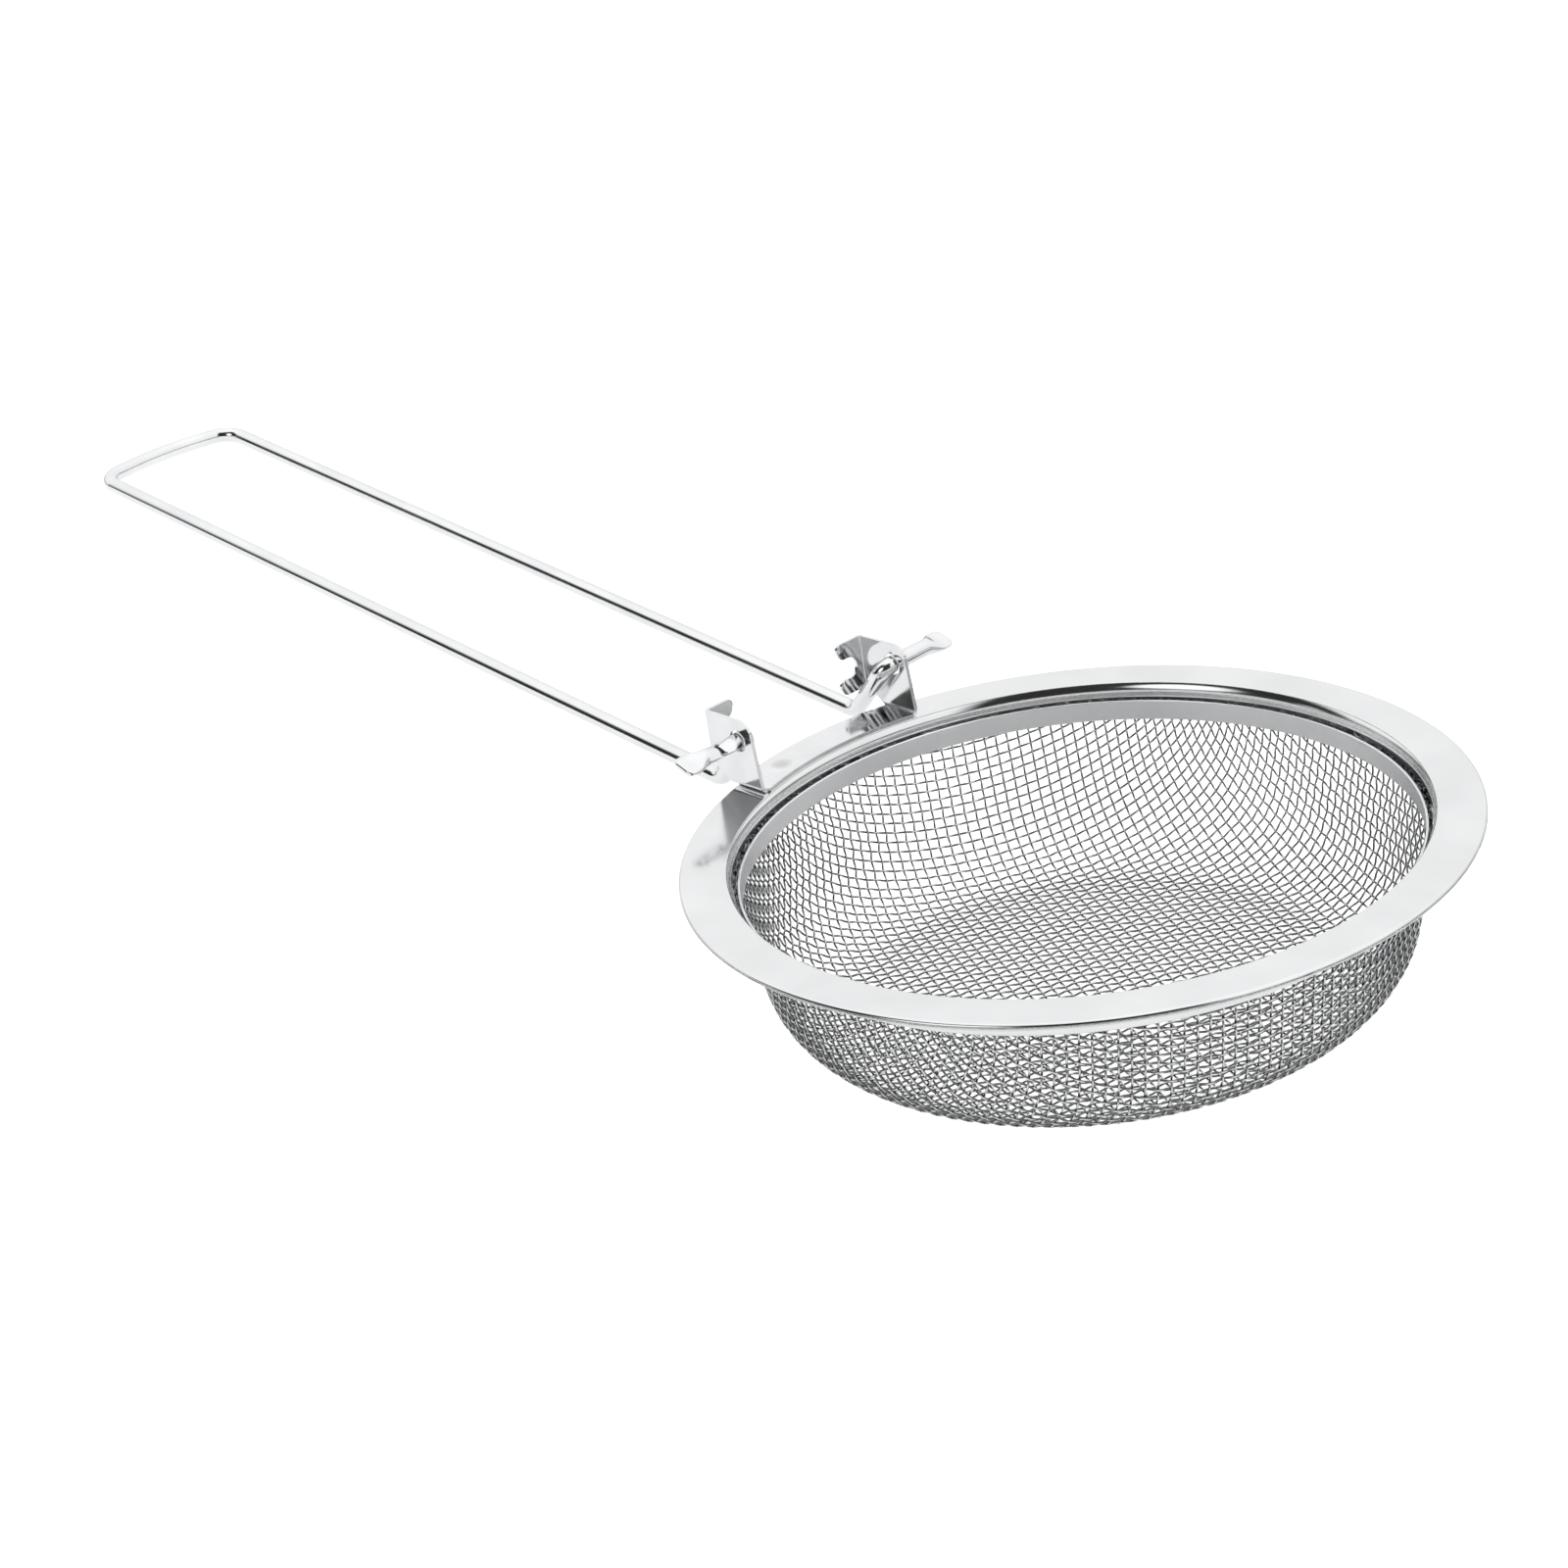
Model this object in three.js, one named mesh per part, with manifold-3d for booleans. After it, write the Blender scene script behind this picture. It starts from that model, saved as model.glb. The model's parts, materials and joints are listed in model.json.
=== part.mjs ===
// A round wire-mesh strainer with a folding wire handle, as an assembly of separate pieces.
// Millimetres, +Z up. The origin is the centre of the bowl's flat bottom, where it stands on a table.
// The bowl's axis is Z, and the handle points towards -X.
import * as THREE from 'three';
import { mergeVertices } from 'three/addons/utils/BufferGeometryUtils.js';
import Module from 'manifold-3d';

// Rim: a pressed sheet ring with a flat flange, a hemmed outer edge and a short collar.
const rimTop = 35;
const rimRadius = 75;
const rimSheet = 0.6;
const throatCurve = 3.5;
const throatDepth = 2.25;
const hemWidth = 3.5;
const hemThickness = 1.3;
const collarRadius = 65.2;
const collarBottom = 27.6;

// Band: a flat hoop inside the collar that holds the edge of the mesh.
const bandOuterRadius = 64.3;
const bandSheet = 0.5;
const bandTop = 31.8;
const bandBottom = collarBottom;

// Basket: a smooth thin shell that takes the place of the woven mesh.
const basketWall = 0.3;
const basketTop = 31.4;
const basketTopRadius = 64.9;
const basketFlatRadius = 45.5;
const basketCornerRadius = 17;

// Bracket: one folded sheet with a strip on the rim, two upright ears and their lock flanges.
const weldGap = 0.3;
const bracketSheet = 0.8;
const stripInnerRadius = 66.2;
const stripOuterRadius = 74.7;
const earOuterY = 21.7;
const earFront = -64;
const earTopFront = -65.2;
const earBack = -78.4;
const earFootBack = -73;
const earHeight = 14.8;
const earCornerRadius = 3;
const earRearBottom = 3.5;
const flangeTipY = 13.8;
const flangeTipSlant = 1.4;
const flangeTipCorner = 1.2;
const notchLow = 6.8;
const notchHigh = 11.3;
const notchEndY = 19.4;

// Hinge: the wire's pins turn in a hole in each ear.
const hingeX = -68.8;
const hingeRise = 10.3;
const holeDiameter = 4.5;

// Handle: one bent round wire with flattened ends outside the ears.
const wireDiameter = 3.6;
const legY = 18.7;
const pinEndY = 31.6;
const elbowX = -79;
const elbowDrop = 1.3;
const handleEndX = -301;
const handleSlope = 0.1214;
const handleEndBow = 2.5;
const hingeBendRadius = 2.5;
const elbowBendRadius = 4;
const endBendRadius = 6;
const bowRadius = 70;
const paddleStartY = 31;
const paddleEndY = 36.6;
const paddleWidth = 5.6;
const paddleThickness = 1.2;
const paddleTilt = 20 * Math.PI / 180;

// Fineness of the round surfaces.
const ringSegments = 72;
const wireSides = 10;
const bendSteps = 6;
const legSteps = 4;

const hingeZ = rimTop + hingeRise;
const elbowZ = rimTop - elbowDrop;
const handleEndZ = elbowZ + handleSlope * (elbowX - handleEndX);

const wasm = await Module();
wasm.setup();

// A geometry as a manifold solid.
function solid(geometry) {
  const bare = geometry.clone();
  bare.deleteAttribute('normal');
  bare.deleteAttribute('uv');
  const merged = mergeVertices(bare);
  return new wasm.Manifold(new wasm.Mesh({
    numProp: 3,
    vertProperties: new Float32Array(merged.attributes.position.array),
    triVerts: new Uint32Array(merged.index.array),
  }));
}

// The union of several geometries, as one geometry.
function union(geometries) {
  let joined = solid(geometries[0]);
  for (const geometry of geometries.slice(1)) joined = joined.add(solid(geometry));
  const mesh = joined.getMesh();
  const result = new THREE.BufferGeometry();
  result.setAttribute('position', new THREE.BufferAttribute(mesh.vertProperties, 3));
  result.setIndex(new THREE.BufferAttribute(mesh.triVerts, 1));
  result.computeVertexNormals();
  return result;
}

// Points of a circular arc in the (radius, height) plane, angles in degrees.
function arc(centreR, centreZ, radius, fromDegrees, toDegrees, steps) {
  return Array.from({ length: steps + 1 }, (_, i) => {
    const angle = THREE.MathUtils.degToRad(fromDegrees + (toDegrees - fromDegrees) * i / steps);
    return new THREE.Vector2(centreR + radius * Math.cos(angle), centreZ + radius * Math.sin(angle));
  });
}

// A solid of revolution about Z from a profile of (radius, height) points.
function turned(profile, closed) {
  const outline = closed ? [...profile, profile[0]] : profile;
  return new THREE.LatheGeometry(outline, ringSegments).rotateX(Math.PI / 2);
}

// A flat plate cut to a shape. The shape's x and y run along the two axes, and the thickness runs
// along their cross product, from the stated offset.
function plate(shape, xAxis, yAxis, thickness, offset) {
  const zAxis = new THREE.Vector3().crossVectors(xAxis, yAxis);
  const geometry = new THREE.ExtrudeGeometry(shape, { depth: thickness, bevelEnabled: false, curveSegments: 8 });
  geometry.applyMatrix4(new THREE.Matrix4().makeBasis(xAxis, yAxis, zAxis));
  return geometry.translate(...zAxis.multiplyScalar(offset).toArray());
}

// The flange ends in an edge, from which the throat curves down to the upright collar.
function rimRing() {
  const hemRadius = hemThickness / 2;
  const sheetBottom = rimTop - rimSheet;
  const throatR = collarRadius + throatCurve;
  const throatZ = rimTop - throatDepth;
  const underRadius = throatCurve - rimSheet;
  const topAngle = THREE.MathUtils.radToDeg(Math.asin(throatDepth / throatCurve));
  const underAngle = THREE.MathUtils.radToDeg(Math.asin((throatDepth - rimSheet) / underRadius));
  const profile = [
    new THREE.Vector2(collarRadius, collarBottom),
    new THREE.Vector2(collarRadius + rimSheet, collarBottom),
    ...arc(throatR, throatZ, underRadius, 180, 180 - underAngle, 4),
    new THREE.Vector2(rimRadius - hemWidth, sheetBottom),
    new THREE.Vector2(rimRadius - hemWidth, rimTop - hemThickness),
    ...arc(rimRadius - hemRadius, rimTop - hemRadius, hemRadius, -90, 90, 6),
    ...arc(throatR, throatZ, throatCurve, 180 - topAngle, 180, 4),
  ];
  return turned(profile, true);
}

function clampBand() {
  return turned([
    new THREE.Vector2(bandOuterRadius - bandSheet, bandBottom),
    new THREE.Vector2(bandOuterRadius, bandBottom),
    new THREE.Vector2(bandOuterRadius, bandTop),
    new THREE.Vector2(bandOuterRadius - bandSheet, bandTop),
  ], true);
}

// One face of the basket from the axis to its top edge, set in from the outer face.
function basketFace(inset) {
  const topR = basketTopRadius - inset;
  const cornerRadius = basketCornerRadius - inset;
  const across = topR - basketFlatRadius;
  const down = bandBottom - basketCornerRadius;
  const toTangent = Math.acos(cornerRadius / Math.hypot(across, down));
  const tangent = THREE.MathUtils.radToDeg(Math.atan2(down, across) - toTangent);
  return [
    new THREE.Vector2(0, inset),
    ...arc(basketFlatRadius, basketCornerRadius, cornerRadius, -90, tangent, 10),
    new THREE.Vector2(topR, bandBottom),
    new THREE.Vector2(topR, basketTop),
  ];
}

function meshBasket() {
  return turned([...basketFace(0), ...basketFace(basketWall).reverse()], false);
}

// The bracket's strip follows the rim and ends square under each ear.
function bracketStrip() {
  const outer = Math.asin(earOuterY / stripOuterRadius);
  const inner = Math.asin(earOuterY / stripInnerRadius);
  const shape = new THREE.Shape();
  shape.absarc(0, 0, stripOuterRadius, Math.PI - outer, Math.PI + outer, false);
  shape.absarc(0, 0, stripInnerRadius, Math.PI + inner, Math.PI - inner, true);
  const [x, y] = [new THREE.Vector3(1, 0, 0), new THREE.Vector3(0, 1, 0)];
  return plate(shape, x, y, bracketSheet, rimTop + weldGap);
}

// An ear, with the hinge hole; side is 1 towards +Y and -1 towards -Y.
function ear(side) {
  const shape = new THREE.Shape();
  const top = rimTop + earHeight;
  shape.moveTo(earFootBack, rimTop + weldGap);
  shape.lineTo(earFront, rimTop + weldGap);
  shape.lineTo(earTopFront, top - earCornerRadius);
  shape.quadraticCurveTo(earTopFront - 0.2, top, earTopFront - earCornerRadius, top);
  shape.lineTo(earBack, top);
  shape.lineTo(earBack, rimTop + earRearBottom);
  const hole = new THREE.Path();
  hole.absarc(hingeX, hingeZ, holeDiameter / 2, 0, 2 * Math.PI, true);
  shape.holes.push(hole);
  const [x, z] = [new THREE.Vector3(1, 0, 0), new THREE.Vector3(0, 0, 1)];
  const outerFace = -side * earOuterY;
  return plate(shape, x, z, bracketSheet, side > 0 ? outerFace : outerFace - bracketSheet);
}

// The blunt end of a prong, from one corner to the other, with both corners rounded.
function roundedTip(shape, first, second) {
  const end = second.clone().sub(first).setLength(flangeTipCorner);
  const [leave, arrive] = [first.clone().add(end), second.clone().sub(end)];
  shape.lineTo(first.x + flangeTipCorner, first.y);
  shape.quadraticCurveTo(first.x, first.y, leave.x, leave.y);
  shape.lineTo(arrive.x, arrive.y);
  shape.quadraticCurveTo(second.x, second.y, second.x + flangeTipCorner, second.y);
}

// A lock flange: the ear's rear edge folded inwards, with a notch that can hold the wire.
function lockFlange(side) {
  const shape = new THREE.Shape();
  const foldY = earOuterY - bracketSheet / 2;
  const notchRadius = (notchHigh - notchLow) / 2;
  const notchMiddle = rimTop + (notchHigh + notchLow) / 2;
  const notchCentreY = notchEndY - notchRadius;
  const tip = (y, rise) => new THREE.Vector2(y, rimTop + rise);
  const upper = [tip(flangeTipY, earHeight), tip(flangeTipY + flangeTipSlant, notchHigh)];
  const lower = [tip(flangeTipY, notchLow), tip(flangeTipY + flangeTipSlant, earRearBottom)];
  shape.moveTo(foldY, rimTop + earRearBottom);
  shape.lineTo(foldY, rimTop + earHeight);
  roundedTip(shape, ...upper);
  shape.lineTo(notchCentreY, rimTop + notchHigh);
  shape.absarc(notchCentreY, notchMiddle, notchRadius, Math.PI / 2, -Math.PI / 2, true);
  roundedTip(shape, ...lower);
  const geometry = plate(
    shape, new THREE.Vector3(0, 1, 0), new THREE.Vector3(0, 0, 1), bracketSheet, earBack);
  return side > 0 ? geometry : mirrored(geometry);
}

// A geometry mirrored through the XZ plane, with its faces still pointing out.
function mirrored(geometry) {
  const result = geometry.clone().scale(1, -1, 1);
  const source = result.index ? result.toNonIndexed() : result;
  const position = source.attributes.position;
  for (let i = 0; i < position.count; i += 3) {
    const [a, b] = [i, i + 1].map((k) => new THREE.Vector3().fromBufferAttribute(position, k));
    position.setXYZ(i, b.x, b.y, b.z);
    position.setXYZ(i + 1, a.x, a.y, a.z);
  }
  return source;
}

function hingeBracket() {
  const pieces = [bracketStrip()];
  for (const side of [1, -1]) pieces.push(ear(side), lockFlange(side));
  return union(pieces);
}

// A path along a list of points, one step for each.
class WirePath extends THREE.Curve {
  constructor(points) {
    super();
    this.points = points;
  }

  getSpacedPoints() {
    return this.points;
  }

  getTangentAt(u) {
    const last = this.points.length - 1;
    const i = Math.round(u * last);
    const [before, after] = [this.points[Math.max(i - 1, 0)], this.points[Math.min(i + 1, last)]];
    return after.clone().sub(before).normalize();
  }
}

// The points of a bend of a stated radius between two straight runs that meet at a corner.
function bend(before, corner, after, radius) {
  const arriving = corner.clone().sub(before).normalize();
  const leaving = after.clone().sub(corner).normalize();
  const turn = arriving.angleTo(leaving);
  const start = corner.clone().addScaledVector(arriving, -radius * Math.tan(turn / 2));
  const inward = leaving.clone().addScaledVector(arriving, -Math.cos(turn)).normalize();
  return Array.from({ length: bendSteps + 1 }, (_, i) => {
    const angle = turn * i / bendSteps;
    return start.clone()
      .addScaledVector(arriving, radius * Math.sin(angle))
      .addScaledVector(inward, radius * (1 - Math.cos(angle)));
  });
}

// The points of one leg between two bends.
function leg(from, to) {
  return Array.from({ length: legSteps - 1 }, (_, i) => from.clone().lerp(to, (i + 1) / legSteps));
}

// The centre line of the whole wire, from one pin to the other.
function wirePoints() {
  const half = [
    new THREE.Vector3(hingeX, pinEndY, hingeZ),
    new THREE.Vector3(hingeX, legY, hingeZ),
    new THREE.Vector3(elbowX, legY, elbowZ),
    new THREE.Vector3(handleEndX, legY, handleEndZ),
  ];
  const middle = new THREE.Vector3(
    handleEndX - handleEndBow, 0, handleEndZ + handleSlope * handleEndBow);
  const other = half.map((point) => point.clone().setY(-point.y)).reverse();
  const corners = [...half, middle, ...other];
  const radii = [hingeBendRadius, elbowBendRadius, endBendRadius];
  const bendRadii = [...radii, bowRadius, ...radii.toReversed()];
  const bends = bendRadii.map((radius, i) => bend(corners[i], corners[i + 1], corners[i + 2], radius));
  const [hinge1, elbow1, end1, bow, end2, elbow2, hinge2] = bends;
  return [
    corners[0], ...hinge1, ...elbow1, ...leg(elbow1.at(-1), end1[0]), ...end1, ...bow,
    ...end2, ...leg(end2.at(-1), elbow2[0]), ...elbow2, ...hinge2, corners.at(-1),
  ];
}

// A flattened end of the wire, outside the ear. It tilts about Y.
function paddle(side) {
  const shape = new THREE.Shape();
  const wide = paddleWidth / 2;
  const narrow = wireDiameter / 2 - 0.2;
  const length = paddleEndY - paddleStartY;
  const corner = 1.5;
  shape.moveTo(-narrow, 0);
  shape.lineTo(narrow, 0);
  shape.quadraticCurveTo(wide, 0.2 * length, wide, 0.45 * length);
  shape.lineTo(wide, length - corner);
  shape.quadraticCurveTo(wide, length, wide - corner, length);
  shape.lineTo(corner - wide, length);
  shape.quadraticCurveTo(-wide, length, -wide, length - corner);
  shape.lineTo(-wide, 0.45 * length);
  shape.quadraticCurveTo(-wide, 0.2 * length, -narrow, 0);
  const across = new THREE.Vector3(Math.cos(paddleTilt), 0, -Math.sin(paddleTilt));
  const geometry = plate(
    shape, across, new THREE.Vector3(0, 1, 0), paddleThickness, -paddleThickness / 2);
  geometry.translate(hingeX, paddleStartY, hingeZ);
  return side > 0 ? geometry : mirrored(geometry);
}

function wireHandle() {
  const points = wirePoints();
  const section = new THREE.Shape().absarc(0, 0, wireDiameter / 2, 0, 2 * Math.PI, false);
  const wire = new THREE.ExtrudeGeometry(section, {
    extrudePath: new WirePath(points), steps: points.length - 1, curveSegments: wireSides / 2,
  });
  return union([wire, paddle(1), paddle(-1)]);
}

const polishedSteel = { color: 0xd2d4d6, roughness: 0.12, metalness: 1 };
const wovenSteel = { color: 0xc4c6c8, roughness: 0.25, metalness: 1 };

const strainer = new THREE.Group();

function addPiece(name, geometry, look) {
  const mesh = new THREE.Mesh(geometry, new THREE.MeshStandardMaterial(look));
  mesh.name = name;
  strainer.add(mesh);
}

addPiece('rim_ring', rimRing(), polishedSteel);
addPiece('clamp_band', clampBand(), polishedSteel);
addPiece('mesh_basket', meshBasket(), wovenSteel);
addPiece('hinge_bracket', hingeBracket(), polishedSteel);
addPiece('wire_handle', wireHandle(), polishedSteel);

export default strainer;
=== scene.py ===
"""The looks of a round wire-mesh strainer with a folding wire handle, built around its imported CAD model.

Shapes are worked out in millimetres in the row frame, and go into Blender in metres. The origin is the
centre of the basket's flat bottom, +Z is up, and the handle points towards -X.
"""

import json
import math

import bmesh
import bpy
import numpy as np
from mathutils import Matrix, Vector
from mathutils.geometry import delaunay_2d_cdt


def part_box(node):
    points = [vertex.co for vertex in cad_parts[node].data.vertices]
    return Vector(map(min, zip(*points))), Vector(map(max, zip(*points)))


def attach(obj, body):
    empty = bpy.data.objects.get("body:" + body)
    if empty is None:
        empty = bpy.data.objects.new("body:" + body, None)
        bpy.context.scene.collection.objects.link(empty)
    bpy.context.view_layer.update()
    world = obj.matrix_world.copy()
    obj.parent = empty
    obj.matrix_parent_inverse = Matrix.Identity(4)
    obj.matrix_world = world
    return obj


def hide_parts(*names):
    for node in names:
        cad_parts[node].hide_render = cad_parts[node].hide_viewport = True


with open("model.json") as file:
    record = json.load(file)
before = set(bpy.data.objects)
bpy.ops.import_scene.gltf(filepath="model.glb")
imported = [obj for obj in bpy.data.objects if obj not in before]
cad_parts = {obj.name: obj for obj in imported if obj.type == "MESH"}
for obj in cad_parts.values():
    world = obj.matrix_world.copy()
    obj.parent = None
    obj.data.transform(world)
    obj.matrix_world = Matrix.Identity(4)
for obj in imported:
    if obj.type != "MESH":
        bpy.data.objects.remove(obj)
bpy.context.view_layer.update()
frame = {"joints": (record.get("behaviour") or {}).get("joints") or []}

MM = 0.001


def box_mm(node):
    low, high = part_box(node)
    return low / MM, high / MM


rim_low, rim_high = box_mm("rim_ring")
band_low, band_high = box_mm("clamp_band")
basket_low, basket_high = box_mm("mesh_basket")
bracket_low, bracket_high = box_mm("hinge_bracket")
handle_low, handle_high = box_mm("wire_handle")
hinge_x, _, hinge_z = (value / MM for value in frame["joints"][0]["pos_m"])

# Rim
RIM_RADIUS, RIM_TOP = rim_high.x, rim_high.z
RIM_SHEET = 0.6
COLLAR_RADIUS = 65.2
COLLAR_BOTTOM = rim_low.z
HEM_WIDTH, HEM_THICKNESS = 3.5, 1.3
THROAT_CURVE, THROAT_DEPTH = 3.5, 2.25
RIM_EDGE, UNDER_EDGE, FLANGE_EDGE = 0.24, 0.1, 0.3
ROUND_SEGMENTS = 288
# A rounded corner takes this share of the space there is, so that it never quite meets the next one.
HALF_ROUND, THROAT_ROUND, NOTCH_ROUND = 0.49, 0.85, 0.99

# Band that holds the mesh in the collar
BAND_RADIUS = band_high.x
BAND_TOP = band_high.z
BAND_SHEET = 0.5
BAND_EDGE = 0.2

# Woven basket
MESH_WIRE = 0.42
MESH_PITCH, WEFT_PITCH = 1.99, 2.34
MESH_ANGLE = math.radians(-25.5)
MESH_TOP = basket_high.z
# The wave of the weave in the collar, as a share of its wave elsewhere, and how far below the collar
# it starts to change
NIPPED_WAVE, NIPPED_REACH = 0.9, 2
MESH_SIDES = 6
MESH_STEPS = 3
# How much further along its material's pattern each wire starts than the one beside it
WIRE_PLACE_STEP = 7.3
BASKET_FLAT_RADIUS = 45.5
BASKET_CORNER_RADIUS = 17.0

# Bracket
BRACKET_SHEET = 0.8
FOLD_RADIUS = 0.9
STRIP_INNER_RADIUS, STRIP_OUTER_RADIUS = 66.2, 74.7
STRIP_LIFT = 0.02
EAR_FRONT, EAR_TOP_FRONT = 64.0, 65.2
EAR_FOOT_FRONT, EAR_FOOT_BACK = EAR_FRONT - 0.4, 71.9
EAR_CORNER_RADIUS = 3.0
EAR_REAR_BOTTOM, EAR_REAR_INSET, EAR_REAR_RADIUS = 3.5, 0.6, 1.0
STRIP_END_INSET = 0.5
FLANGE_TIP_Y, FLANGE_TIP_SLANT, FLANGE_TIP_CORNER = 13.8, 1.4, 1.2
NOTCH_LOW, NOTCH_HIGH, NOTCH_END_Y = 6.8, 11.3, 19.4
HOLE_RADIUS = 2.25
WELD_Y, WELD_RADIUS, WELD_DEPTH = 11.0, 1.7, 0.12
WELD_RINGS = 0.3, 0.55, 0.8, 1.0
FOLD_STEPS = 5
SHEET_EDGE = 0.1

# Handle
WIRE_RADIUS = 1.8
LEG_Y = 18.7
ELBOW_X, ELBOW_Z = -79.0, RIM_TOP - 1.3
HANDLE_SLOPE = 0.1214
END_BOW = 2.5
# The wide bend in the middle of the end falls short of its corner, so that is put this much further out.
END_REACH = 0.3
HANDLE_END_X = handle_low.x + END_BOW + WIRE_RADIUS - END_REACH
HINGE_BEND, ELBOW_BEND, END_BEND, BOW_RADIUS = 2.5, 4.0, 6.0, 70.0
PADDLE_HALF_WIDTH, PADDLE_HALF_THICKNESS = 2.8, 0.6
PADDLE_CORNER = 1.5
PADDLE_FLAT, PADDLE_BLEND = 2.6, 3.6
# The very tip of the paddle has this share of its thickness, and its round end starts at this angle.
PADDLE_TIP, PADDLE_TIP_ANGLE = 0.35, 0.12
PADDLE_SQUARENESS, ROUND_SQUARENESS = 4.0, 2.0
PADDLE_TILT = math.radians(20)
HANDLE_SIDES = 28

# Looks. Noise lies mostly between these two values.
NOISE_LOW, NOISE_HIGH = 0.3, 0.7
# The tint of a weld fades out between these shares of its radius.
WELD_TINT = 0.6, 1.5
# The mesh wire's painted light: its dark colours where it dips, a painted shade, its bright colour on a
# knuckle, a painted highlight, and where one turns to the other
DIP_SHADE_COLOURS = (0.13, 0.135, 0.14, 1), (0.22, 0.225, 0.23, 1)
KNUCKLE_HIGHLIGHT_COLOUR = (0.78, 0.785, 0.79, 1)
KNUCKLE_HIGHLIGHT_EDGE = 0.15, 0.6

# Camera: the point it aims at and its distance in metres, and the direction it looks from
CAMERA_AIM = (-0.0635, -0.0161, 0.035)
CAMERA_DISTANCE = 0.6621
CAMERA_AZIMUTH, CAMERA_ELEVATION = math.radians(-39.29), math.radians(24.24)
CAMERA_ROLL = math.radians(8.72)
CAMERA_LENS = 77.3

# Studio. The near side is a dark room between two walls of light, up to a height. Each edge fades from
# dark to bright over a pair of sines: of the angle past the edge, or of the angle above the horizon.
FLOOR_GLOW, FLOOR_WHITENESS = 0.25, 0.45
ROOM_LEVEL, BACKDROP_LEVEL, CEILING_LEVEL = 0.03, 0.97, 1.1
RIGHT_EDGE, LEFT_EDGE, LEFT_LEAN = math.radians(-12), math.radians(-150), math.radians(77)
EDGE_SOFTNESS = 0.08
ROOM_TOP = 0.80, 0.92
HORIZON, CEILING_HEIGHTS = (0.02, 0.16), (0.5, 0.95)
# A softbox in the dark room. Its edge fades between two shares of its radius.
SOFTBOX_AZIMUTH, SOFTBOX_ELEVATION = math.radians(-86), math.radians(22)
SOFTBOX_RADIUS, SOFTBOX_FADE, SOFTBOX_LEVEL = math.radians(16), (0.85, 1.25), 1.25


# ---------------------------------------------------------------- shapes


def rounded(corners, steps=5, support=0.3):
    """A closed outline with its corners rounded. Each corner is (x, y, radius).
    A point a little way before and after each arc keeps the flats flat under smooth shading."""
    outline = []
    count = len(corners)
    for k, (x, y, radius) in enumerate(corners):
        corner = Vector((x, y))
        before = Vector(corners[k - 1][:2]) - corner
        after = Vector(corners[(k + 1) % count][:2]) - corner
        if radius <= 0:
            outline.append(corner)
            continue
        half = before.angle(after) / 2
        reach = radius / math.tan(half)
        start = corner + before.normalized() * reach
        end = corner + after.normalized() * reach
        middle = (before.normalized() + after.normalized()).normalized()
        centre = corner + middle * (radius / math.sin(half))
        turn = math.pi - 2 * half
        first, last = start - centre, end - centre
        lead = min(support * radius, 0.4 * (before.length - reach))
        tail = min(support * radius, 0.4 * (after.length - reach))
        if lead > 1e-4:
            outline.append(start + before.normalized() * lead)
        for i in range(steps + 1):
            share = i / steps
            outline.append(
                centre
                + (first * math.sin((1 - share) * turn) + last * math.sin(share * turn))
                / math.sin(turn)
            )
        if tail > 1e-4:
            outline.append(end + after.normalized() * tail)
    return outline


def new_piece(name, vertices, faces, body, node, material):
    """A piece of the strainer from points in millimetres. It rides on a body and stands for a CAD node."""
    mesh = bpy.data.meshes.new(name)
    mesh.from_pydata((np.asarray(vertices, float) * MM).tolist(), [], faces)
    mesh.validate()
    mesh.shade_smooth()
    mesh.materials.append(material)
    piece = bpy.data.objects.new(name, mesh)
    bpy.context.scene.collection.objects.link(piece)
    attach(piece, body)
    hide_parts(node)
    return piece


def outward(mesh):
    """Turns the faces of a closed mesh outwards."""
    work = bmesh.new()
    work.from_mesh(mesh)
    bmesh.ops.recalc_face_normals(work, faces=work.faces)
    work.to_mesh(mesh)
    work.free()


def turned(profile):
    """Points and faces of a ring turned about Z from a closed profile of (radius, height)."""
    profile = np.array([tuple(point) for point in profile])
    angle = np.arange(ROUND_SEGMENTS) * 2 * math.pi / ROUND_SEGMENTS
    radius, height = profile[:, 0], profile[:, 1]
    x = np.outer(np.cos(angle), radius)
    y = np.outer(np.sin(angle), radius)
    z = np.tile(height, (ROUND_SEGMENTS, 1))
    vertices = np.stack([x, y, z], axis=-1).reshape(-1, 3)
    count = len(profile)
    faces = []
    for i in range(ROUND_SEGMENTS):
        here, there = i * count, (i + 1) % ROUND_SEGMENTS * count
        for k in range(count):
            after = (k + 1) % count
            faces.append((here + k, there + k, there + after, here + after))
    return vertices, faces


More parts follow.
